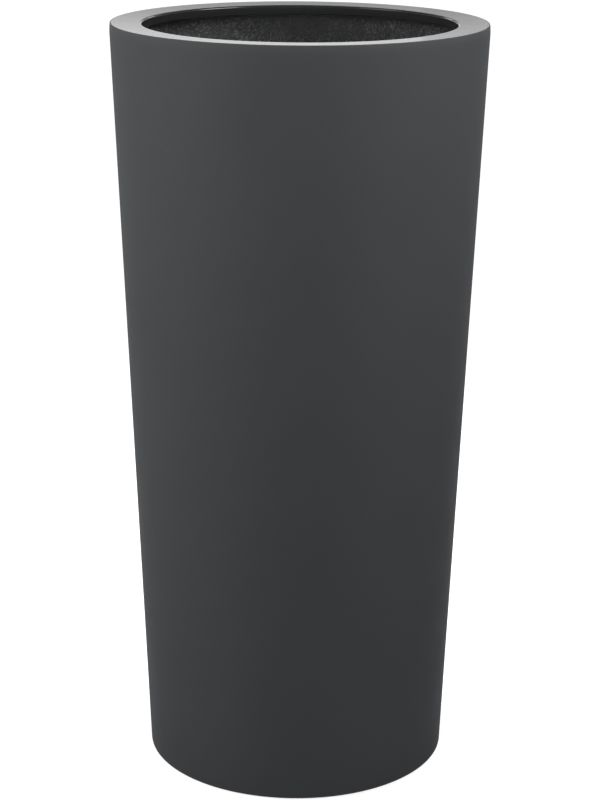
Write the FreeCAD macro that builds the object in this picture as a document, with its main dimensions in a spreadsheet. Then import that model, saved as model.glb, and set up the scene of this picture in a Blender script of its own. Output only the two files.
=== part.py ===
import FreeCAD, Part
import math
import os
from types import SimpleNamespace

import Sketcher

# A tall tapered floor planter, hand laid in glass-reinforced polyester and lacquered.
# Frame: +Z up, origin on the floor at the centre of the foot, millimetres.
# A lacquered skin forms the tapered wall. A separately moulded flat lip laps inside its top
# edge, a glass-mat layer lines it, and a base disc is bonded in with resin covings. The
# planter stands on four rubber feet hidden in the recess below the base, and a rubber plug
# closes its drain hole.

# Driving sizes in millimetres. Each one becomes an aliased cell of the sheet.
SIZES = {
    # Outside form
    "overall_height": 900.0,        # floor to the top face of the lip
    "rim_diameter": 440.0,          # outside of the wall at the top of the lip
    "foot_diameter": 366.0,         # outside of the wall at its lower edge
    "floor_gap": 1.0,               # lower edge of the wall above the floor
    "foot_edge_radius": 1.5,        # rounding of the wall's lower outside edge
    # Wall, measured level
    "skin_thickness": 3.0,          # lacquered outer skin
    "mat_thickness": 2.5,           # glass-mat layer behind the skin
    # Lip
    "lip_width": 36.5,              # outside of the wall to the mouth
    "lip_thickness": 4.0,
    "lip_edge_radius": 2.0,         # outer top edge
    "mouth_edge_radius": 1.2,       # both edges of the mouth
    "skirt_depth": 10.0,            # lap of the lip inside the skin, below the lip
    "lip_coving_radius": 13.0,
    # Base
    "base_recess": 12.0,            # underside of the base above the wall's lower edge
    "base_thickness": 6.0,
    "base_coving_radius": 15.0,     # inside, above the base
    "under_coving_radius": 8.0,     # outside, below the base
    "drain_diameter": 30.0,
    # Drain plug
    "plug_clearance": 0.2,          # all round, in the drain hole
    "plug_draft": 1.5,              # how much the shank's radius shrinks to its tip
    "plug_tail": 4.0,               # shank below the base
    "plug_flange_overlap": 8.0,     # flange past the edge of the drain hole
    "plug_flange_thickness": 4.0,
    "plug_neck_diameter": 11.0,
    "plug_neck_height": 6.0,
    "plug_knob_diameter": 18.0,
    "plug_knob_height": 8.0,
    "plug_edge_radius": 1.5,        # flange and knob edges
    # Rubber feet
    "pad_inset": 5.0,               # foot to the coving round the base
    "pad_diameter": 40.0,           # where a foot is bonded to the base
    "pad_tread_diameter": 34.0,     # where a foot meets the floor
    "pad_edge_radius": 2.0,         # round the tread
}

# Where the feet stand round the base, as angles from +X
FOOT_ANGLES = {
    "front_right": -45.0,
    "back_right": 45.0,
    "back_left": 135.0,
    "front_left": -135.0,
}

LONE_SHARE = 0.8    # a lone rounding takes at most this much of its wall
PAIR_SHARE = 0.45   # roundings on both sides of a wall take at most this much of it each
EDGE_MATCH = 1e-4   # how near an edge has to lie to the ring that is looked for

doc = FreeCAD.newDocument("tall_planter")
sheet = doc.addObject("Spreadsheet::Sheet", "Sheet")
for row, (alias, number) in enumerate(SIZES.items(), start=1):
    sheet.set(f"A{row}", str(number))
    sheet.setAlias(f"A{row}", alias)
doc.recompute()


class Length:
    """A length that carries both its value and its expression on the sheet, so that one formula
    draws a profile and also drives it."""

    def __init__(self, value, text=None):
        self.value = value
        self.text = text or str(value)

    def __add__(self, other):
        return Length(self.value + other.value, f"({self.text} + {other.text})")

    def __sub__(self, other):
        return Length(self.value - other.value, f"({self.text} - {other.text})")

    def __mul__(self, other):
        return Length(self.value * other.value, f"({self.text} * {other.text})")

    def __truediv__(self, other):
        return Length(self.value / other.value, f"({self.text} / {other.text})")

    def within(self, wall, share=1.0):
        """This rounding, held to a share of the wall that it is cut from or laid on."""
        limit = wall * Length(share)
        return Length(min(self.value, limit.value), f"min({self.text}; {limit.text})")


def half(length):
    return length / Length(2)


cells = {alias: Length(number, f"Sheet.{alias}") for alias, number in SIZES.items()}
size = SimpleNamespace(**cells)

# Heights and radii that more than one piece shares
FLOOR = Length(0)
AXIS = Length(0)
WALL_FOOT = size.floor_gap
BASE_UNDER = WALL_FOOT + size.base_recess
BASE_TOP = BASE_UNDER + size.base_thickness
LIP_TOP = size.overall_height
LIP_UNDER = LIP_TOP - size.lip_thickness
SKIRT_FOOT = LIP_UNDER - size.skirt_depth
MOUTH_RADIUS = half(size.rim_diameter) - size.lip_width
DRAIN_RADIUS = half(size.drain_diameter)
UNDER_COVING = size.under_coving_radius.within(size.base_recess)
TAPER = half(size.rim_diameter - size.foot_diameter) / (LIP_TOP - WALL_FOOT)


def outer(height):
    """Radius of the skin's outside at a height, on the straight taper from foot to rim."""
    return half(size.foot_diameter) + TAPER * (height - WALL_FOOT)


def behind_skin(height):
    """Radius of the face between the skin and what is bonded behind it."""
    return outer(height) - size.skin_thickness


def inner(height):
    """Radius of the finished inside of the wall."""
    return behind_skin(height) - size.mat_thickness


def new_body(label):
    body = doc.addObject("PartDesign::Body", label)
    body.Label = label
    return body


def new_sketch(body, name, plane_role):
    sketch = body.newObject("Sketcher::SketchObject", name)
    plane = next(f for f in body.Origin.OriginFeatures if f.Role == plane_role)
    sketch.AttachmentSupport = [(plane, "")]
    sketch.MapMode = "FlatFace"
    return sketch


def bind(sketch, constraint, name, length):
    """Adds a dimension to a sketch and ties it to the sheet."""
    index = sketch.addConstraint(constraint)
    sketch.renameConstraint(index, name)
    sketch.setExpression(f"Constraints.{name}", length.text)


def place_corner(sketch, index, vertex, radius, height):
    """Holds one end of edge number index at a radius and a height."""
    if radius is AXIS:
        sketch.addConstraint(Sketcher.Constraint("PointOnObject", index, vertex, -2))
    else:
        across = Sketcher.Constraint("DistanceX", -1, 1, index, vertex, radius.value)
        bind(sketch, across, f"radius_{index}", radius)
    if height is FLOOR:
        sketch.addConstraint(Sketcher.Constraint("PointOnObject", index, vertex, -1))
    else:
        up = Sketcher.Constraint("DistanceY", -1, 1, index, vertex, height.value)
        bind(sketch, up, f"height_{index}", height)


def hollow_arc(start, end, corner, radius):
    """An arc from start to end that bulges towards corner, as the face of a coving does. Also
    says whether it runs forward, because the arc itself always runs anticlockwise."""
    middle = (start + end) * 0.5
    half_chord = (end - start).Length / 2
    away = (middle - corner).normalize()
    centre = middle + away * math.sqrt(radius ** 2 - half_chord ** 2)
    start_angle = math.atan2(start.y - centre.y, start.x - centre.x)
    end_angle = math.atan2(end.y - centre.y, end.x - centre.x)
    circle = Part.Circle(centre, FreeCAD.Vector(0, 0, 1), radius)
    if (end_angle - start_angle) % (2 * math.pi) < math.pi:
        return Part.ArcOfCircle(circle, start_angle, end_angle), True
    return Part.ArcOfCircle(circle, end_angle, start_angle), False


def revolved(body, corners, coving_radius=None):
    """Turns a closed profile about the planter's axis. Corners are (radius, height) pairs. With a
    coving radius there are three corners, and the edge that faces the first one is a hollow arc."""
    sketch = new_sketch(body, "Profile", "XZ_Plane")
    points = [FreeCAD.Vector(radius.value, height.value, 0) for radius, height in corners]
    ends = []
    for index, start in enumerate(points):
        end = points[(index + 1) % len(points)]
        forward = True
        if coving_radius and index == 1:
            edge, forward = hollow_arc(start, end, points[0], coving_radius.value)
        else:
            edge = Part.LineSegment(start, end)
        sketch.addGeometry(edge, False)
        ends.append((1, 2) if forward else (2, 1))
    for index, (first, last) in enumerate(ends):
        following = (index + 1) % len(ends)
        meeting = (index, last, following, ends[following][0])
        sketch.addConstraint(Sketcher.Constraint("Coincident", *meeting))
        place_corner(sketch, index, first, *corners[index])
    if coving_radius:
        curve = Sketcher.Constraint("Radius", 1, coving_radius.value)
        bind(sketch, curve, "coving_radius", coving_radius)
    turned = body.newObject("PartDesign::Revolution", "Revolution")
    turned.Profile = sketch
    turned.ReferenceAxis = (sketch, ["V_Axis"])
    turned.Angle = 360
    doc.recompute()
    return turned


def rounded(body, base, rings, radius, name):
    """Rounds the circular edges of a turned piece that lie on the given (radius, height) rings."""
    wanted = [(across.value, height.value) for across, height in rings]
    edges = []
    for index, edge in enumerate(base.Shape.Edges, start=1):
        if not isinstance(edge.Curve, Part.Circle):
            continue
        found = (edge.Curve.Radius, edge.Curve.Center.z)
        if any(math.dist(found, ring) < EDGE_MATCH for ring in wanted):
            edges.append(f"Edge{index}")
    if len(edges) != len(rings):
        raise RuntimeError(f"{body.Label}: {len(edges)} of {len(rings)} edges found to round")
    fillet = body.newObject("PartDesign::Fillet", name)
    fillet.Base = (base, edges)
    fillet.Radius = radius.value
    fillet.setExpression("Radius", radius.text)
    doc.recompute()
    return fillet


def drilled(body, base, diameter):
    """Drills a hole down the axis, right through the piece."""
    sketch = new_sketch(body, "HoleOutline", "XY_Plane")
    circle = Part.Circle(FreeCAD.Vector(0, 0, 0), FreeCAD.Vector(0, 0, 1), diameter.value / 2)
    sketch.addGeometry(circle, False)
    sketch.addConstraint(Sketcher.Constraint("Coincident", 0, 3, -1, 1))
    bind(sketch, Sketcher.Constraint("Diameter", 0, diameter.value), "hole_diameter", diameter)
    pocket = body.newObject("PartDesign::Pocket", "Hole")
    pocket.Profile = sketch
    pocket.Type = "ThroughAll"
    pocket.Reversed = True
    doc.recompute()
    if pocket.Shape.Volume >= base.Shape.Volume:
        raise RuntimeError(f"{body.Label}: the hole cuts nothing")
    return pocket


def make_wall_shell():
    """The lacquered skin: a thin tapered wall, open at both ends, trimmed level under the lip."""
    body = new_body("wall_shell")
    foot_edge = (outer(WALL_FOOT), WALL_FOOT)
    skin = revolved(body, [
        foot_edge,
        (outer(LIP_UNDER), LIP_UNDER),
        (behind_skin(LIP_UNDER), LIP_UNDER),
        (behind_skin(WALL_FOOT), WALL_FOOT),
    ])
    rounding = size.foot_edge_radius.within(size.skin_thickness, LONE_SHARE)
    rounded(body, skin, [foot_edge], rounding, "FootEdge")
    return body


def make_lip_ring():
    """The flat lip. It caps the skin's top edge, and its skirt laps inside the skin, flush with
    the glass-mat layer that carries on below it."""
    body = new_body("lip_ring")
    rim_edge = (outer(LIP_TOP), LIP_TOP)
    mouth_top = (MOUTH_RADIUS, LIP_TOP)
    mouth_under = (MOUTH_RADIUS, LIP_UNDER)
    ring = revolved(body, [
        mouth_under,
        (inner(LIP_UNDER), LIP_UNDER),
        (inner(SKIRT_FOOT), SKIRT_FOOT),
        (behind_skin(SKIRT_FOOT), SKIRT_FOOT),
        (behind_skin(LIP_UNDER), LIP_UNDER),
        (outer(LIP_UNDER), LIP_UNDER),
        rim_edge,
        mouth_top,
    ])
    rim_rounding = size.lip_edge_radius.within(size.lip_thickness, LONE_SHARE)
    soft_rim = rounded(body, ring, [rim_edge], rim_rounding, "RimEdge")
    mouth_rounding = size.mouth_edge_radius.within(size.lip_thickness, PAIR_SHARE)
    rounded(body, soft_rim, [mouth_top, mouth_under], mouth_rounding, "MouthEdges")
    return body


def make_inner_laminate():
    """The glass-mat layer that stiffens the skin, from its lower edge to the lip's skirt."""
    body = new_body("inner_laminate")
    revolved(body, [
        (behind_skin(WALL_FOOT), WALL_FOOT),
        (behind_skin(SKIRT_FOOT), SKIRT_FOOT),
        (inner(SKIRT_FOOT), SKIRT_FOOT),
        (inner(WALL_FOOT), WALL_FOOT),
    ])
    return body


def make_coving(label, level, radius, wall_end):
    """A hollow resin fillet in the corner between the inside of the wall and a level face."""
    body = new_body(label)
    revolved(body, [
        (inner(level), level),
        (inner(level) - radius, level),
        (inner(wall_end), wall_end),
    ], coving_radius=radius)
    return body


def make_base_plate():
    """The bottom disc, cut to the wall's taper and set up inside its foot, with the drain hole."""
    body = new_body("base_plate")
    disc = revolved(body, [
        (AXIS, BASE_UNDER),
        (inner(BASE_UNDER), BASE_UNDER),
        (inner(BASE_TOP), BASE_TOP),
        (AXIS, BASE_TOP),
    ])
    drilled(body, disc, size.drain_diameter)
    return body


def make_drain_plug():
    """The rubber bung: a drafted shank in the drain hole, a flange that seals on the base, and
    a knob on a neck to pull it out by."""
    body = new_body("drain_plug")
    shank = DRAIN_RADIUS - size.plug_clearance
    tip = shank - size.plug_draft
    tip_end = BASE_UNDER - size.plug_tail
    flange = DRAIN_RADIUS + size.plug_flange_overlap
    flange_top = BASE_TOP + size.plug_flange_thickness
    neck = half(size.plug_neck_diameter)
    neck_top = flange_top + size.plug_neck_height
    knob = half(size.plug_knob_diameter)
    knob_top = neck_top + size.plug_knob_height
    plug = revolved(body, [
        (AXIS, tip_end),
        (tip, tip_end),
        (shank, BASE_TOP),
        (flange, BASE_TOP),
        (flange, flange_top),
        (neck, flange_top),
        (neck, neck_top),
        (knob, neck_top),
        (knob, knob_top),
        (AXIS, knob_top),
    ])
    edges = [(flange, flange_top), (knob, neck_top), (knob, knob_top)]
    rounding = size.plug_edge_radius.within(size.plug_flange_thickness, PAIR_SHARE)
    rounded(body, plug, edges, rounding.within(knob - neck, LONE_SHARE), "SoftEdges")
    return body


def make_rubber_foot(label, angle):
    """A tapered rubber foot, bonded under the base and standing just proud of the wall."""
    body = new_body(label)
    tread_edge = (half(size.pad_tread_diameter), FLOOR)
    foot = revolved(body, [
        (AXIS, FLOOR),
        tread_edge,
        (half(size.pad_diameter), BASE_UNDER),
        (AXIS, BASE_UNDER),
    ])
    rounding = size.pad_edge_radius.within(BASE_UNDER, PAIR_SHARE)
    rounded(body, foot, [tread_edge], rounding, "TreadEdge")
    out = inner(BASE_UNDER) - UNDER_COVING - size.pad_inset - half(size.pad_diameter)
    body.setExpression("Placement.Base.x", f"{out.text} * cos({angle} deg)")
    body.setExpression("Placement.Base.y", f"{out.text} * sin({angle} deg)")
    doc.recompute()
    return body


pieces = [
    make_wall_shell(),
    make_lip_ring(),
    make_inner_laminate(),
    make_coving("lip_coving", LIP_UNDER, size.lip_coving_radius, LIP_UNDER - size.lip_coving_radius),
    make_base_plate(),
    make_coving("base_coving", BASE_TOP, size.base_coving_radius, BASE_TOP + size.base_coving_radius),
    make_coving("under_coving", BASE_UNDER, UNDER_COVING, BASE_UNDER - UNDER_COVING),
    make_drain_plug(),
]
for place, angle in FOOT_ANGLES.items():
    pieces.append(make_rubber_foot(f"rubber_foot_{place}", angle))
doc.recompute()

# Nothing is written unless every object of the document came out well
failed = [item.Label for item in doc.Objects if "Invalid" in item.State or "Error" in item.State]
for piece in pieces:
    shape = piece.Shape
    if shape.isNull() or not shape.isValid() or len(shape.Solids) != 1:
        failed.append(piece.Label)
if failed:
    raise RuntimeError(f"these came out wrong: {sorted(set(failed))}")

os.makedirs("parts", exist_ok=True)
for piece in pieces:
    piece.Shape.exportStep(os.path.join("parts", f"{piece.Label}.step"))
    print(f"{piece.Label}: {piece.Shape.Volume / 1000:.1f} cm3")
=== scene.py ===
import math
import random

import bmesh
import bpy
from mathutils import Matrix, Vector, noise


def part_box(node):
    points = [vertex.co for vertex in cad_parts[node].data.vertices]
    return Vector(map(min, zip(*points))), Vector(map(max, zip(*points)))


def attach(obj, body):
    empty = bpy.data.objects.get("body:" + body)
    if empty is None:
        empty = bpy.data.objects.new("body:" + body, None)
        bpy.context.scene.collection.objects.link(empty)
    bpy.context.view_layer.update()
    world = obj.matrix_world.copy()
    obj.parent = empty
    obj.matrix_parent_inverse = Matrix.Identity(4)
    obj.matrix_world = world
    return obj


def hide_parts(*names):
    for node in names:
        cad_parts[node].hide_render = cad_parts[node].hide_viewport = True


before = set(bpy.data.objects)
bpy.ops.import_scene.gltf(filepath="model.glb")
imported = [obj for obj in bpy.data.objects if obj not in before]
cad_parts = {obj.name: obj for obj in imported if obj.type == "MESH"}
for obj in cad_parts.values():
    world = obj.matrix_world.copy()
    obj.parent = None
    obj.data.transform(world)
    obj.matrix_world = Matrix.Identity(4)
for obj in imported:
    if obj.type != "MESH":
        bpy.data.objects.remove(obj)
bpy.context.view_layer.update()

# A tall tapered floor planter: satin anthracite lacquer outside and on its flat lip, black
# glass-mat laminate inside. Metres, +Z up, origin on the floor at the centre of the foot.

MM = 0.001

# Thicknesses and roundings, as the laminator makes them
SKIN = 3.0 * MM
MAT = 2.5 * MM
LIP_WIDTH = 36.5 * MM
SKIRT_DEPTH = 10.0 * MM
RIM_ROUNDING = 0.9 * MM
MOUTH_ROUNDING = 2.2 * MM
LIP_DROP = 1.2 * MM          # the lip falls a little towards the mouth
RETURN_DEPTH = 10.5 * MM     # and turns down there
RETURN_THICKNESS = 4.5 * MM
RETURN_ROUNDING = 0.3 * MM
PAINT = 1.0 * MM             # black paint, built up round the mouth
FOOT_ROUNDING = 1.5 * MM
LIP_COVING = 13.0 * MM
BASE_COVING = 15.0 * MM
UNDER_COVING = 8.0 * MM
DRAIN_RADIUS = 15.0 * MM

# The shoulder below the lip, sanded to lean in a little
SHOULDER_DEPTH = 8.0 * MM
SHOULDER_SOFTNESS = 4.0 * MM
SHOULDER_LEAN = 0.12

TURN_STEPS = 256       # facets round the planter
SMALL_STEPS = 96       # facets round the plug and the feet
ARC_STEPS = 8          # facets over a rounding
HAIR = 0.02 * MM       # keeps corners that meet from lying on each other
CREASE = math.radians(35)

# Levels and radii of the planter, read from the frame
wall_low, wall_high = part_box("wall_shell")
base_low, base_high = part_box("base_plate")
WALL_FOOT = wall_low.z
LIP_UNDER = wall_high.z
LIP_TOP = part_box("lip_ring")[1].z
SKIRT_FOOT = LIP_UNDER - SKIRT_DEPTH
BASE_UNDER = base_low.z
BASE_TOP = base_high.z
SHOULDER = LIP_TOP - SHOULDER_DEPTH
TAPER = (wall_high.x - base_high.x - SKIN - MAT) / (LIP_UNDER - BASE_TOP)


def cone(height):
    """Radius of the plain tapered wall at a height."""
    return wall_high.x + TAPER * (height - LIP_UNDER)


def outer(height):
    """Radius of the lacquered outside, with its shoulder."""
    return cone(height) - SHOULDER_LEAN * max(height - SHOULDER, 0)


def behind_skin(height):
    return cone(height) - SKIN


def inner(height):
    """Radius of the finished inside."""
    return behind_skin(height) - MAT


MOUTH = cone(LIP_TOP) - LIP_WIDTH - PAINT
RIM = outer(LIP_TOP)


# Modelling

def finished(bm, name):
    """Makes a mesh object of a bmesh, shaded smooth between its creases."""
    bmesh.ops.remove_doubles(bm, verts=bm.verts, dist=HAIR / 4)
    bmesh.ops.recalc_face_normals(bm, faces=bm.faces)
    mesh = bpy.data.meshes.new(name)
    bm.to_mesh(mesh)
    bm.free()
    mesh.shade_smooth()
    mesh.set_sharp_from_angle(angle=CREASE)
    piece = bpy.data.objects.new(name, mesh)
    bpy.context.scene.collection.objects.link(piece)
    return piece


def turned(outline, closed=True, steps=TURN_STEPS):
    """Turns an outline about the Z axis. Its corners are (radius, height), or (radius, height,
    rounding) where the corner is rounded off."""
    bm = bmesh.new()
    corners = [bm.verts.new((corner[0], 0, corner[1])) for corner in outline]
    for first, second in zip(corners, corners[1:]):
        bm.edges.new((first, second))
    if closed:
        bm.edges.new((corners[-1], corners[0]))
    for vert, corner in zip(corners, outline):
        if len(corner) == 3:
            bmesh.ops.bevel(bm, geom=[vert], offset=corner[2], offset_type="OFFSET",
                            affect="VERTICES", segments=ARC_STEPS, profile=0.5, material=-1)
    bmesh.ops.spin(bm, geom=bm.verts[:] + bm.edges[:], cent=(0, 0, 0), axis=(0, 0, 1),
                   angle=2 * math.pi, steps=steps, use_merge=True)
    return bm


def dress(piece, material, body, node=None):
    """Gives a piece its finish and ties it to the frame, in place of a node if it remakes one."""
    piece.data.materials.append(material)
    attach(piece, body)
    if node:
        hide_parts(node)


# Finishes

WALL_SHEEN = 0.03          # specular level and roughness of the lacquer, on the wall and on the lip
WALL_ROUGHNESS = 0.72
LIP_SHEEN = 0.4
LIP_ROUGHNESS = 0.15
UNEVEN = 0.04              # share by which the roughness wanders
GLOSS_PATCH = 30 * MM
MATT_EDGE = 1.6 * MM       # the rim's edge, where the lacquer turns matt
MATT_EDGE_BLEND = 1.0 * MM
PAINT_OVERLAP = 0.3 * MM   # the paint ends a little inside the mouth's rounding
PAINT_BLEND = 0.4 * MM

# Marks in the lacquer
CLOUD = 120 * MM
MOTTLE = 2.2 * MM
SPRAY_GRAIN = 2.6 * MM
SPRAY_RELIEF = 0.004 * MM
DUST_SPACING = 45 * MM
DUST_RADIUS = 0.8 * MM
# The lacquer is painted paler over the top of the wall and the lip: a painted highlight
RIM_HIGHLIGHT_DEPTH = 12 * MM
RIM_HIGHLIGHT_SHARE = 0.1

# Marks in the mat, the resin and the rubber
MAT_LUMP = 2.6 * MM
MAT_LUMP_RELIEF = 0.2 * MM
MAT_PATCH = 45 * MM
MAT_GLINT = 5 * MM
MAT_GRAIN = 1.1 * MM
MAT_GRAIN_RELIEF = 0.1 * MM
WIPE = 9 * MM
WIPE_SQUEEZE = 0.12        # level scale that draws the wipes out round the planter
WIPE_RELIEF = 0.1 * MM
BLOOM = 6 * MM
RUBBER_GRAIN = 0.5 * MM
RUBBER_RELIEF = 0.02 * MM

# Colours, a darker and a paler one where a finish wanders between two
ANTHRACITE = ((0.0435, 0.045, 0.0475), (0.0465, 0.048, 0.0505))
# paler lacquer painted towards the rim, a painted highlight
PAINTED_RIM_HIGHLIGHT = (0.09, 0.093, 0.097)
DUST = (0.16, 0.16, 0.165)
BLACK_PAINT = (0.0135, 0.0138, 0.0143)
PAINTED_MAT = ((0.017, 0.0173, 0.018), (0.036, 0.0366, 0.038))
# the strands' relief is real, but their pale tone is a painted glint
STRAND_TONES_WITH_PAINTED_GLINT = ((0.035, 0.0356, 0.037), (0.21, 0.2135, 0.2205))
BLACK_RESIN = ((0.0125, 0.0125, 0.013), (0.0175, 0.0178, 0.0185))
# grey resin for the coving under the lip, painted lighter than black resin to lift the lip's shade
RESIN_PAINTED_LIGHTER = ((0.075, 0.077, 0.08), (0.088, 0.09, 0.093))
BLACK_RUBBER = ((0.014, 0.014, 0.014), (0.024, 0.024, 0.0235))


class Finish:
    """A material in the making, with short words for what finishes are made of."""

    def __init__(self, name):
        self.material = bpy.data.materials.new(name)
        self.material.use_nodes = True
        self.nodes = self.material.node_tree.nodes
        self.links = self.material.node_tree.links
        self.shader = self.nodes["Principled BSDF"]
        self.place = self.nodes.new("ShaderNodeTexCoord").outputs["Object"]

    def feed(self, name, output):
        self.links.new(output, self.shader.inputs[name])

    def stretched(self, across, up):
        """The place, with its scale changed level and upright."""
        mapping = self.nodes.new("ShaderNodeMapping")
        mapping.inputs["Scale"].default_value = (across, across, up)
        self.links.new(self.place, mapping.inputs["Vector"])
        return mapping.outputs["Vector"]

    def height(self):
        split = self.nodes.new("ShaderNodeSeparateXYZ")
        self.links.new(self.place, split.inputs[0])
        return split.outputs["Z"]

    def distance_out(self):
        """Distance from the planter's axis."""
        level = self.nodes.new("ShaderNodeVectorMath")
        level.operation = "MULTIPLY"
        level.inputs[1].default_value = (1, 1, 0)
        self.links.new(self.place, level.inputs[0])
        length = self.nodes.new("ShaderNodeVectorMath")
        length.operation = "LENGTH"
        self.links.new(level.outputs[0], length.inputs[0])
        return length.outputs["Value"]

    def grain(self, size, detail=2.0, place=None):
        """Even noise with lumps of about this size."""
        texture = self.nodes.new("ShaderNodeTexNoise")
        texture.inputs["Scale"].default_value = 1 / size
        texture.inputs["Detail"].default_value = detail
        self.links.new(place or self.place, texture.inputs["Vector"])
        return texture.outputs["Fac"]

    def specks(self, spacing, radius):
        """1 in scattered specks and 0 between them."""
        texture = self.nodes.new("ShaderNodeTexVoronoi")
        texture.inputs["Scale"].default_value = 1 / spacing
        self.links.new(self.place, texture.inputs["Vector"])
        edge = radius / spacing
        return self.ramp(texture.outputs["Distance"], 0.6 * edge, edge, 1, 0)

    def ramp(self, value, start, end, low, high):
        """Turns a value from start to end into one from low to high, held at both ends."""
        node = self.nodes.new("ShaderNodeMapRange")
        node.interpolation_type = "SMOOTHSTEP"
        node.inputs["From Min"].default_value = start
        node.inputs["From Max"].default_value = end
        node.inputs["To Min"].default_value = low
        node.inputs["To Max"].default_value = high
        self.links.new(value, node.inputs["Value"])
        return node.outputs["Result"]

    def joined(self, how, first, second):
        node = self.nodes.new("ShaderNodeMath")
        node.operation = how
        self.links.new(first, node.inputs[0])
        self.links.new(second, node.inputs[1])
        return node.outputs[0]

    def blend(self, share, under, over):
        """One colour laid over another by a share. The one under may be another blend."""
        node = self.nodes.new("ShaderNodeMix")
        node.data_type = "RGBA"
        share_in, under_in, over_in = [socket for socket in node.inputs if socket.enabled]
        self.links.new(share, share_in)
        over_in.default_value = (*over, 1)
        if isinstance(under, tuple):
            under_in.default_value = (*under, 1)
        else:
            self.links.new(under, under_in)
        return [socket for socket in node.outputs if socket.enabled][0]

    def bump(self, height, depth, under=None):
        """Relief of a depth in metres, on top of another relief if one is given."""
        node = self.nodes.new("ShaderNodeBump")
        node.inputs["Strength"].default_value = 1
        node.inputs["Distance"].default_value = depth
        self.links.new(height, node.inputs["Height"])
        if under:
            self.links.new(under, node.inputs["Normal"])
        return node.outputs["Normal"]


def lacquer_colour(finish):
    """Anthracite with faint clouds, a fine grain and a few dust specks, and paler towards the rim
    as a painted highlight.
    """
    cloud = finish.grain(CLOUD, 3)
    mottle = finish.grain(MOTTLE, 1)
    clouded = finish.ramp(cloud, 0.3, 0.7, 0, 0.6)
    tone = finish.joined("ADD", clouded, finish.ramp(mottle, 0.25, 0.75, 0, 0.4))
    colour = finish.blend(tone, *ANTHRACITE)
    # painted highlight: paler towards the rim, all the way round
    rim_highlight = finish.ramp(finish.height(), LIP_TOP - RIM_HIGHLIGHT_DEPTH, LIP_TOP, 0, RIM_HIGHLIGHT_SHARE)
    colour = finish.blend(rim_highlight, colour, PAINTED_RIM_HIGHLIGHT)
    dusty = finish.ramp(cloud, 0.45, 0.5, 0, 0.5)
    dust = finish.joined("MULTIPLY", finish.specks(DUST_SPACING, DUST_RADIUS), dusty)
    return finish.blend(dust, colour, DUST)


def spray_relief(finish):
    return finish.bump(finish.grain(SPRAY_GRAIN, 1), SPRAY_RELIEF)


def make_wall_lacquer():
    """Lacquer sprayed on the upright wall, where it dries matt."""
    finish = Finish("anthracite_lacquer")
    finish.feed("Base Color", lacquer_colour(finish))
    finish.shader.inputs["Specular IOR Level"].default_value = WALL_SHEEN
    least = WALL_ROUGHNESS * (1 - UNEVEN)
    most = WALL_ROUGHNESS * (1 + UNEVEN)
    finish.feed("Roughness", finish.ramp(finish.grain(GLOSS_PATCH), 0.3, 0.7, least, most))
    finish.feed("Normal", spray_relief(finish))
    return finish.material


def make_lip_lacquer():
    """Lacquer that flows out smooth on the level lip and dries matt on the rim's edge. The mouth
    is painted black, as the inside is."""
    finish = Finish("lip_lacquer")
    out = finish.distance_out()
    paint_end = MOUTH + MOUTH_ROUNDING - PAINT_OVERLAP
    painted = finish.ramp(out, paint_end - PAINT_BLEND, paint_end, 1, 0)
    finish.feed("Base Color", finish.blend(painted, lacquer_colour(finish), BLACK_PAINT))
    smooth_end = RIM - MATT_EDGE
    level = finish.ramp(out, smooth_end, smooth_end + MATT_EDGE_BLEND, 1, 0)
    patchy = finish.ramp(finish.grain(GLOSS_PATCH), 0.3, 0.7, 1 - UNEVEN, 1 + UNEVEN)
    rough = finish.ramp(level, 0, 1, WALL_ROUGHNESS, LIP_ROUGHNESS)
    finish.feed("Roughness", finish.joined("MULTIPLY", patchy, rough))
    finish.feed("Specular IOR Level", finish.ramp(level, 0, 1, WALL_SHEEN, LIP_SHEEN))
    finish.feed("Normal", spray_relief(finish))
    return finish.material


def make_glass_mat(name, low, high):
    """Black paint brushed over rough glass mat: lumpy, with small glints where it lies thick."""
    finish = Finish(name)
    lumps = finish.grain(MAT_LUMP)
    lumpy = finish.ramp(lumps, 0.35, 0.7, 0, 0.7)
    patchy = finish.ramp(finish.grain(MAT_PATCH), 0.3, 0.7, 0, 0.3)
    finish.feed("Base Color", finish.blend(finish.joined("ADD", lumpy, patchy), low, high))
    finish.feed("Roughness", finish.ramp(finish.grain(MAT_GLINT), 0.35, 0.65, 0.32, 0.55))
    coarse = finish.bump(lumps, MAT_LUMP_RELIEF)
    finish.feed("Normal", finish.bump(finish.grain(MAT_GRAIN, 1), MAT_GRAIN_RELIEF, coarse))
    return finish.material


def make_resin(name, low, high):
    """Filled resin, wiped along the corner that it fills."""
    finish = Finish(name)
    wipes = finish.grain(WIPE, 2, finish.stretched(WIPE_SQUEEZE, 1))
    finish.feed("Base Color", finish.blend(wipes, low, high))
    finish.feed("Roughness", finish.ramp(wipes, 0.3, 0.7, 0.4, 0.52))
    finish.feed("Normal", finish.bump(wipes, WIPE_RELIEF))
    return finish.material


def make_rubber():
    """Moulded black rubber with a matt bloom."""
    finish = Finish("moulded_rubber")
    bloom = finish.grain(BLOOM, 3)
    finish.feed("Base Color", finish.blend(bloom, *BLACK_RUBBER))
    finish.feed("Roughness", finish.ramp(bloom, 0.3, 0.7, 0.62, 0.78))
    finish.feed("Normal", finish.bump(finish.grain(RUBBER_GRAIN, 1), RUBBER_RELIEF))
    return finish.material


wall_lacquer = make_wall_lacquer()
lip_lacquer = make_lip_lacquer()
glass_mat = make_glass_mat("painted_glass_mat", *PAINTED_MAT)
# strands paler than the mat: a painted glint on real relief
strands = make_glass_mat("strands_with_painted_glint", *STRAND_TONES_WITH_PAINTED_GLINT)
resin = make_resin("wiped_resin", *BLACK_RESIN)
# painted light: this resin is paler than the black resin to offset the shade under the lip
resin_painted_lighter = make_resin("resin_painted_lighter", *RESIN_PAINTED_LIGHTER)
rubber = make_rubber()


# Lacquered pieces

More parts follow.
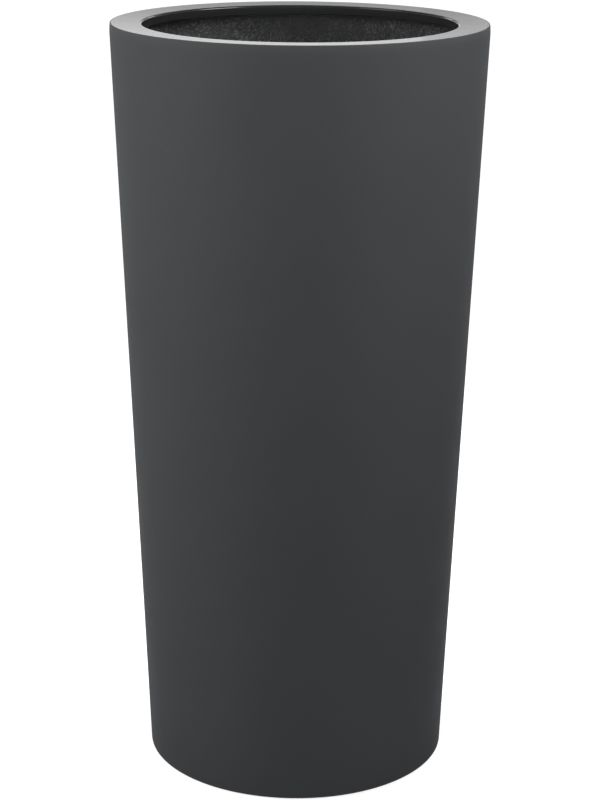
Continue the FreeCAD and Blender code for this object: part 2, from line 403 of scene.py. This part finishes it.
def make_wall():
    bm = turned([
        (outer(WALL_FOOT), WALL_FOOT, FOOT_ROUNDING),
        (outer(SHOULDER), SHOULDER, SHOULDER_SOFTNESS),
        (outer(LIP_UNDER), LIP_UNDER),
        (behind_skin(LIP_UNDER), LIP_UNDER),
        (behind_skin(WALL_FOOT), WALL_FOOT),
    ])
    dress(finished(bm, "lacquered_wall"), wall_lacquer, "planter", "wall_shell")


def make_lip():
    """The flat ring on top, with a skirt behind the wall's skin and a return round the mouth. A
    loop beside each rounding keeps the flat between them flat."""
    return_foot = LIP_TOP - LIP_DROP - RETURN_DEPTH
    flat_start = RIM - 2 * RIM_ROUNDING
    flat_end = MOUTH + 1.5 * MOUTH_ROUNDING
    fall = LIP_DROP / (RIM - MOUTH)
    bm = turned([
        (MOUTH, return_foot, RETURN_ROUNDING),
        (MOUTH + RETURN_THICKNESS, return_foot, RETURN_ROUNDING),
        (MOUTH + RETURN_THICKNESS, LIP_UNDER - LIP_DROP, RETURN_ROUNDING),
        (inner(LIP_UNDER), LIP_UNDER),
        (inner(SKIRT_FOOT), SKIRT_FOOT),
        (behind_skin(SKIRT_FOOT), SKIRT_FOOT),
        (behind_skin(LIP_UNDER), LIP_UNDER),
        (outer(LIP_UNDER), LIP_UNDER),
        (RIM, LIP_TOP, RIM_ROUNDING),
        (flat_start, LIP_TOP - fall * (RIM - flat_start)),
        (flat_end, LIP_TOP - fall * (RIM - flat_end)),
        (MOUTH, LIP_TOP - LIP_DROP, MOUTH_ROUNDING),
    ])
    dress(finished(bm, "flat_lip"), lip_lacquer, "planter", "lip_ring")


# Laminate inside

ROUGH_DEPTH = 46 * MM      # the upper part of the mat, which shows most, has the finest relief
ROUGH_STEP = 1.7 * MM
PLAIN_STEP = 13 * MM
MAT_STEPS = 790            # facets round the mat

# Height and size of the lumps that the mat swells in
BROAD_SWELL = 0.15 * MM
BROAD_LUMP = 38 * MM
MEDIUM_SWELL = 0.07 * MM
MEDIUM_LUMP = 11 * MM
FINE_SWELL = 0.2 * MM
FINE_LUMP = 2.4 * MM


def swelling(place):
    """How far the painted mat swells inwards at a place."""
    broad = BROAD_SWELL * noise.noise(place / BROAD_LUMP)
    if place.z < SKIRT_FOOT - ROUGH_DEPTH:
        return broad
    medium = MEDIUM_SWELL * noise.noise(place / MEDIUM_LUMP)
    fine = FINE_SWELL * noise.noise(place / FINE_LUMP)
    return (broad + medium + fine) * min((SKIRT_FOOT - place.z) / (2 * ROUGH_STEP), 1)


def mat_levels():
    """Heights of the mat's rows, close together at the top."""
    rough_foot = SKIRT_FOOT - ROUGH_DEPTH
    rough_rows = round(ROUGH_DEPTH / ROUGH_STEP)
    plain_rows = round((rough_foot - WALL_FOOT) / PLAIN_STEP)
    levels = [WALL_FOOT + (rough_foot - WALL_FOOT) * row / plain_rows for row in range(plain_rows)]
    return levels + [rough_foot + ROUGH_DEPTH * row / rough_rows for row in range(rough_rows + 1)]


def make_laminate():
    """The mat is a fine grid, rolled up, swollen in lumps, and closed behind against the skin."""
    levels = mat_levels()
    last = len(levels) - 1
    bm = bmesh.new()
    bmesh.ops.create_grid(bm, x_segments=MAT_STEPS, y_segments=last, size=1)
    for vert in bm.verts:
        angle = math.pi * vert.co.x
        height = levels[round((vert.co.y + 1) / 2 * last)]
        out = Vector((math.sin(angle), math.cos(angle), 0))
        place = out * inner(height) + Vector((0, 0, height))
        vert.co = place - out * swelling(place)
    bmesh.ops.remove_doubles(bm, verts=bm.verts, dist=HAIR)
    ends = [edge for edge in bm.edges if edge.is_boundary]
    for grown in bmesh.ops.extrude_edge_only(bm, edges=ends)["geom"]:
        if isinstance(grown, bmesh.types.BMVert):
            out = Vector((grown.co.x, grown.co.y, 0)).normalized()
            grown.co = out * behind_skin(grown.co.z) + Vector((0, 0, grown.co.z))
    bmesh.ops.bridge_loops(bm, edges=[edge for edge in bm.edges if edge.is_boundary])
    laminate = finished(bm, "inside_laminate")
    dress(laminate, glass_mat, "planter", "inner_laminate")


STRAND_SHORTEST = 2.0 * MM
STRAND_REACH = 9.0 * MM        # how much longer the longest are
FEW_LONG = 1.5                 # above 1, most strands are short
STRAND_WIDTH = (0.32 * MM, 0.7 * MM)
STRAND_PROUD = (0.22 * MM, 0.45 * MM)
LOOSE_SHARE = 0.35             # share of the strands that lie any way
SWEEP = 0.75                   # radians that the roller's sweep leans by, and how it wanders
SWEEP_WANDER = 1.3
SWEEP_REACH = 70 * MM
SWEEP_SCATTER = 0.22
WALL_STRANDS = 11000           # in each part of the wall
STRANDS_TOP = LIP_UNDER - 16 * MM
STRANDS_MIDDLE = LIP_UNDER - 70 * MM
STRANDS_FOOT = BASE_TOP + BASE_COVING
BASE_STRANDS = 500
PLUG_ROOM = 40 * MM            # the base is left clear this far out, and this far from its coving
COVING_ROOM = 14 * MM


def make_spindle():
    """A slim closed shape to make strands of."""
    bm = bmesh.new()
    bmesh.ops.create_uvsphere(bm, u_segments=4, v_segments=3, radius=1)
    spindle = bpy.data.meshes.new("spindle")
    bm.to_mesh(spindle)
    bm.free()
    return spindle


spindle = make_spindle()


def lay_strand(bm, place, chance):
    """Adds a strand of glass under the paint, half sunk in the plane y = 0 of its place."""
    length = STRAND_SHORTEST + STRAND_REACH * chance.random() ** FEW_LONG
    width = chance.uniform(*STRAND_WIDTH)
    proud = chance.uniform(*STRAND_PROUD)
    strand = spindle.copy()
    strand.transform(place @ Matrix.Diagonal((width / 2, proud, length / 2, 1)))
    bm.from_mesh(strand)
    bpy.data.meshes.remove(strand)


def brush_turn(along, height, chance):
    """Direction of a strand: the sweep of the roller at its place, or any."""
    if chance.random() < LOOSE_SHARE:
        return chance.uniform(0, math.pi)
    wander = SWEEP_WANDER * noise.noise(Vector((along, height, 0)) / SWEEP_REACH)
    return SWEEP + wander + chance.gauss(0, SWEEP_SCATTER)


def wrap_inside(verts):
    """Wraps what is laid out by distance round and height on to the inside of the wall."""
    for vert in verts:
        along, proud, height = vert.co
        radius = inner(height) - proud
        angle = along / inner(LIP_UNDER)
        vert.co = (radius * math.sin(angle), radius * math.cos(angle), height)


def make_wall_strands(name, count, low, high, thinning, seed):
    """Strands on the wall between two heights, evenly where the thinning is 1, and otherwise
    fewer and fewer downwards."""
    chance = random.Random(seed)
    half_way = math.pi * inner(LIP_UNDER)
    bm = bmesh.new()
    for _ in range(count):
        along = chance.uniform(-half_way, half_way)
        height = high - (high - low) * chance.random() ** thinning
        turn = Matrix.Rotation(brush_turn(along, height, chance), 4, "Y")
        lay_strand(bm, Matrix.Translation((along, 0, height)) @ turn, chance)
    wrap_inside(bm.verts)
    dress(finished(bm, name), strands, "planter")


def make_base_strands(name, count, seed):
    """Strands on the flat of the base, between its coving and the plug."""
    chance = random.Random(seed)
    reach = inner(BASE_TOP) - BASE_COVING - COVING_ROOM
    flat = Matrix.Rotation(math.pi / 2, 4, "X")
    bm = bmesh.new()
    for _ in range(count):
        out = math.sqrt(chance.uniform(PLUG_ROOM ** 2, reach ** 2))
        angle = chance.uniform(0, 2 * math.pi)
        place = Matrix.Translation((out * math.cos(angle), out * math.sin(angle), BASE_TOP))
        turn = Matrix.Rotation(chance.uniform(0, math.pi), 4, "Y")
        lay_strand(bm, place @ flat @ turn, chance)
    dress(finished(bm, name), strands, "planter")


def make_coving(name, node, level, radius, way, finish):
    """A hollow resin fillet in the corner between the wall and a level face, up or down it."""
    wall_end = level + way * (radius + HAIR)
    bm = turned([
        (inner(level), level),
        (inner(level) - radius - HAIR, level),
        (inner(level), level, radius),
        (inner(wall_end), wall_end),
    ])
    dress(finished(bm, name), finish, "planter", node)


def make_base():
    bm = turned([
        (DRAIN_RADIUS, BASE_UNDER),
        (inner(BASE_UNDER), BASE_UNDER),
        (inner(BASE_TOP), BASE_TOP),
        (DRAIN_RADIUS, BASE_TOP),
    ])
    dress(finished(bm, "base_disc"), glass_mat, "planter", "base_plate")


# Rubber pieces

PLUG_CLEARANCE = 0.2 * MM
PLUG_DRAFT = 1.5 * MM
PLUG_FLANGE = 4.0 * MM
PLUG_NECK = 5.5 * MM
PLUG_KNOB = 9.0 * MM
PLUG_KNOB_HEIGHT = 8.0 * MM
PLUG_SOFTNESS = 1.5 * MM
PLUG_EDGE = 0.8 * MM
PLUG_NECK_ROUNDING = 1.2 * MM
RING_WIDTH = 1.2 * MM
RING_DEPTH = 0.6 * MM
MOULD_EDGE = 0.3 * MM


def make_plug():
    low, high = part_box("drain_plug")
    flange = high.x
    flange_top = BASE_TOP + PLUG_FLANGE
    shank = DRAIN_RADIUS - PLUG_CLEARANCE
    knob_foot = high.z - PLUG_KNOB_HEIGHT
    ring = (PLUG_NECK + flange) / 2
    bm = turned([
        (0, low.z),
        (shank - PLUG_DRAFT, low.z, PLUG_EDGE),
        (shank, BASE_TOP),
        (flange, BASE_TOP),
        (flange, flange_top, PLUG_SOFTNESS),
        (ring + RING_WIDTH, flange_top, MOULD_EDGE),
        (ring + RING_WIDTH / 2, flange_top - RING_DEPTH, MOULD_EDGE),
        (ring - RING_WIDTH / 2, flange_top - RING_DEPTH, MOULD_EDGE),
        (ring - RING_WIDTH, flange_top, MOULD_EDGE),
        (PLUG_NECK, flange_top, PLUG_NECK_ROUNDING),
        (PLUG_NECK, knob_foot, PLUG_EDGE),
        (PLUG_KNOB, knob_foot, PLUG_SOFTNESS),
        (PLUG_KNOB, high.z, PLUG_SOFTNESS),
        (PLUG_KNOB / 2, high.z, PLUG_EDGE),
        (0, high.z - RING_DEPTH),
    ], closed=False, steps=SMALL_STEPS)
    dress(finished(bm, "drain_bung"), rubber, "plug", "drain_plug")


FOOT_TREAD = 17.0 * MM
FOOT_TREAD_ROUNDING = 2.0 * MM
TREAD_GROOVES = (6.0 * MM, 11.5 * MM)
GROOVE_WIDTH = 1.6 * MM
GROOVE_DEPTH = 1.0 * MM


def make_foot(node):
    low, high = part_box(node)
    centre = (low + high) / 2
    outline = [(0, low.z)]
    for radius in TREAD_GROOVES:
        outline.append((radius - GROOVE_WIDTH, low.z, MOULD_EDGE))
        outline.append((radius - GROOVE_WIDTH / 2, low.z + GROOVE_DEPTH, MOULD_EDGE))
        outline.append((radius + GROOVE_WIDTH / 2, low.z + GROOVE_DEPTH, MOULD_EDGE))
        outline.append((radius + GROOVE_WIDTH, low.z, MOULD_EDGE))
    outline.append((FOOT_TREAD, low.z, FOOT_TREAD_ROUNDING))
    outline.append((high.x - centre.x, high.z))
    outline.append((0, high.z))
    bm = turned(outline, closed=False, steps=SMALL_STEPS)
    bmesh.ops.translate(bm, verts=bm.verts, vec=(centre.x, centre.y, 0))
    foot = finished(bm, node.replace("rubber_foot", "standing_foot"))
    dress(foot, rubber, "planter", node)


make_wall()
make_lip()
make_laminate()
make_wall_strands("mat_strands_upper", WALL_STRANDS, STRANDS_MIDDLE, STRANDS_TOP,
                  thinning=1, seed=11)
make_wall_strands("mat_strands_lower", WALL_STRANDS, STRANDS_FOOT, STRANDS_MIDDLE,
                  thinning=2.2, seed=12)
# the coving under the lip is painted lighter, against the lip's shade
make_coving("coving_under_lip", "lip_coving", LIP_UNDER, LIP_COVING, -1, resin_painted_lighter)
make_base()
make_base_strands("mat_strands_base", BASE_STRANDS, seed=13)
make_coving("coving_over_base", "base_coving", BASE_TOP, BASE_COVING, 1, resin)
make_coving("coving_under_base", "under_coving", BASE_UNDER, UNDER_COVING, -1, resin)
make_plug()
for name in sorted(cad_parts):
    if name.startswith("rubber_foot"):
        make_foot(name)


# Stage

IMAGE_HEIGHT = 800          # pixels
FOCAL_LENGTH = 2093.8       # pixels
CAMERA_PLACE = (0, -2.4402, 1.1807)
CAMERA_PITCH = 0.2934       # radians below level
CAMERA_YAW = 0.0012
CAMERA_ROLL = 0.0067


def make_camera():
    camera = bpy.data.cameras.new("camera")
    camera.lens = camera.sensor_width * FOCAL_LENGTH / IMAGE_HEIGHT
    holder = bpy.data.objects.new("camera", camera)
    turn = Matrix.Rotation(-CAMERA_YAW, 4, "Z")
    tip = Matrix.Rotation(math.pi / 2 - CAMERA_PITCH, 4, "X")
    roll = Matrix.Rotation(CAMERA_ROLL, 4, "Z")
    holder.matrix_world = Matrix.Translation(CAMERA_PLACE) @ turn @ tip @ roll
    bpy.context.scene.collection.objects.link(holder)
    bpy.context.scene.camera = holder


def make_softbox(name, place, aim, width, height, brightness, mirrored=True, spread=180):
    """A rectangular lamp of even brightness, where 1 is as bright as the white ground. A bright
    lamp low down isn't mirrored, because at a flat angle the lip would show nothing else. A
    spread of less than 180 degrees gathers its light into a beam."""
    light = bpy.data.lights.new(name, "AREA")
    light.shape = "RECTANGLE"
    light.size = width
    light.size_y = height
    light.spread = math.radians(spread)
    light.energy = brightness * math.pi * width * height
    holder = bpy.data.objects.new(name, light)
    look = (Vector(aim) - Vector(place)).to_track_quat("-Z", "Y")
    holder.matrix_world = Matrix.Translation(place) @ look.to_matrix().to_4x4()
    holder.visible_camera = False
    holder.visible_glossy = mirrored
    bpy.context.scene.collection.objects.link(holder)


def seen_directly(nodes, links):
    """1 where the camera, a reflection or a clear material looks, and 0 where light is gathered."""
    path = nodes.new("ShaderNodeLightPath")
    total = path.outputs["Is Camera Ray"]
    for kind in ("Is Glossy Ray", "Is Transmission Ray"):
        either = nodes.new("ShaderNodeMath")
        either.operation = "MAXIMUM"
        links.new(total, either.inputs[0])
        links.new(path.outputs[kind], either.inputs[1])
        total = either.outputs[0]
    return total


FILL = 0.18                 # light from all round
CEILING_REACH = (0.04, 0.26)    # rise over which the mirrored backdrop dims to the ceiling
FLOOR_REACH = 30
FLOOR_COLOUR = 0.4
FLOOR_GLOW = (0.7, 1.0)     # by the foot, where the shadow lies, and far out
FLOOR_GLOW_REACH = (0.18, 0.27)


def make_world():
    world = bpy.data.worlds.new("studio")
    bpy.context.scene.world = world
    world.use_nodes = True
    nodes = world.node_tree.nodes
    links = world.node_tree.links
    fill = nodes["Background"]
    fill.inputs["Color"].default_value = (1, 1, 1, 1)
    fill.inputs["Strength"].default_value = FILL
    white = nodes.new("ShaderNodeBackground")
    white.inputs["Color"].default_value = (1, 1, 1, 1)
    split = nodes.new("ShaderNodeSeparateXYZ")
    links.new(nodes.new("ShaderNodeTexCoord").outputs["Generated"], split.inputs[0])
    ceiling = nodes.new("ShaderNodeMapRange")
    ceiling.inputs["From Min"].default_value = CEILING_REACH[0]
    ceiling.inputs["From Max"].default_value = CEILING_REACH[1]
    ceiling.inputs["To Min"].default_value = 1
    ceiling.inputs["To Max"].default_value = FILL
    links.new(split.outputs["Z"], ceiling.inputs["Value"])
    strength = nodes.new("ShaderNodeMath")
    strength.operation = "MAXIMUM"
    links.new(nodes.new("ShaderNodeLightPath").outputs["Is Camera Ray"], strength.inputs[0])
    links.new(ceiling.outputs["Result"], strength.inputs[1])
    links.new(strength.outputs[0], white.inputs["Strength"])
    mix = nodes.new("ShaderNodeMixShader")
    links.new(seen_directly(nodes, links), mix.inputs[0])
    links.new(fill.outputs[0], mix.inputs[1])
    links.new(white.outputs[0], mix.inputs[2])
    links.new(mix.outputs[0], nodes["World Output"].inputs["Surface"])


def make_floor():
    """A pale floor, clear when it is seen from below."""
    bm = bmesh.new()
    bmesh.ops.create_grid(bm, x_segments=4, y_segments=4, size=FLOOR_REACH)
    floor = finished(bm, "floor")
    finish = Finish("pale_floor")
    nodes = finish.nodes
    links = finish.links
    nodes.remove(finish.shader)
    matt = nodes.new("ShaderNodeBsdfDiffuse")
    matt.inputs["Color"].default_value = (FLOOR_COLOUR, FLOOR_COLOUR, FLOOR_COLOUR, 1)
    glow = nodes.new("ShaderNodeEmission")
    brightness = finish.ramp(finish.distance_out(), *FLOOR_GLOW_REACH, *FLOOR_GLOW)
    links.new(brightness, glow.inputs["Strength"])
    both = nodes.new("ShaderNodeAddShader")
    mix = nodes.new("ShaderNodeMixShader")
    links.new(matt.outputs[0], both.inputs[0])
    links.new(glow.outputs[0], both.inputs[1])
    links.new(seen_directly(nodes, links), mix.inputs[0])
    links.new(matt.outputs[0], mix.inputs[1])
    links.new(both.outputs[0], mix.inputs[2])
    clear = nodes.new("ShaderNodeBsdfTransparent")
    one_sided = nodes.new("ShaderNodeMixShader")
    links.new(nodes.new("ShaderNodeNewGeometry").outputs["Backfacing"], one_sided.inputs[0])
    links.new(mix.outputs[0], one_sided.inputs[1])
    links.new(clear.outputs[0], one_sided.inputs[2])
    links.new(one_sided.outputs[0], nodes["Material Output"].inputs["Surface"])
    floor.data.materials.append(finish.material)


make_camera()
make_world()
make_floor()

# Lamps on both sides and in front light the wall
make_softbox("left_near", (-0.9, -0.25, 1.5), (0, 0, 0.85), 0.6, 0.6, 3.8)
make_softbox("left_mid", (-1.5, -0.2, 1.0), (0, 0, 0.6), 0.8, 0.9, 8.0, mirrored=False)
make_softbox("right_near", (0.9, -0.25, 1.5), (0, 0, 0.85), 0.6, 0.6, 11.5)
make_softbox("right_mid", (1.5, -0.2, 1.0), (0, 0, 0.6), 0.8, 0.9, 0.8, mirrored=False)
make_softbox("front_low", (0, -1.2, 1.3), (0, 0, 0.75), 1.0, 0.4, 5.5, mirrored=False)
make_softbox("front_level", (0, -2.5, 1.25), (0, 0, 0.8), 1.4, 0.4, 10.0, mirrored=False)

# Lamps behind light the inside of the near wall, and the back
make_softbox("back_left", (-0.8, 1.3, 1.3), (0, 0, 0.9), 0.8, 0.6, 8.0, mirrored=False)
make_softbox("back_right", (0.8, 1.3, 1.3), (0, 0, 0.9), 0.8, 0.6, 6.5, mirrored=False)

# A narrow beam from above reaches the base
make_softbox("overhead", (0, 0, 6.0), (0, 0, 0), 0.2, 0.2, 2.0, mirrored=False, spread=5)

# Strips behind show in the mouth's edge, and dim ones low down show in the lip
make_softbox("back_edge_left", (-0.55, 1.36, 1.38), (0, 0, 0.9), 0.5, 0.2, 4.0)
make_softbox("back_edge_right", (0.55, 1.36, 1.38), (0, 0, 0.9), 0.5, 0.2, 3.6)
make_softbox("back_low_left", (-0.38, 1.5, 1.0), (-0.38, 0, 0.9), 1.0, 0.2, 0.33)
make_softbox("back_low_mid", (-0.28, 1.5, 1.0), (-0.28, 0, 0.9), 1.0, 0.2, 0.26)

bpy.context.scene.view_settings.view_transform = "Standard"
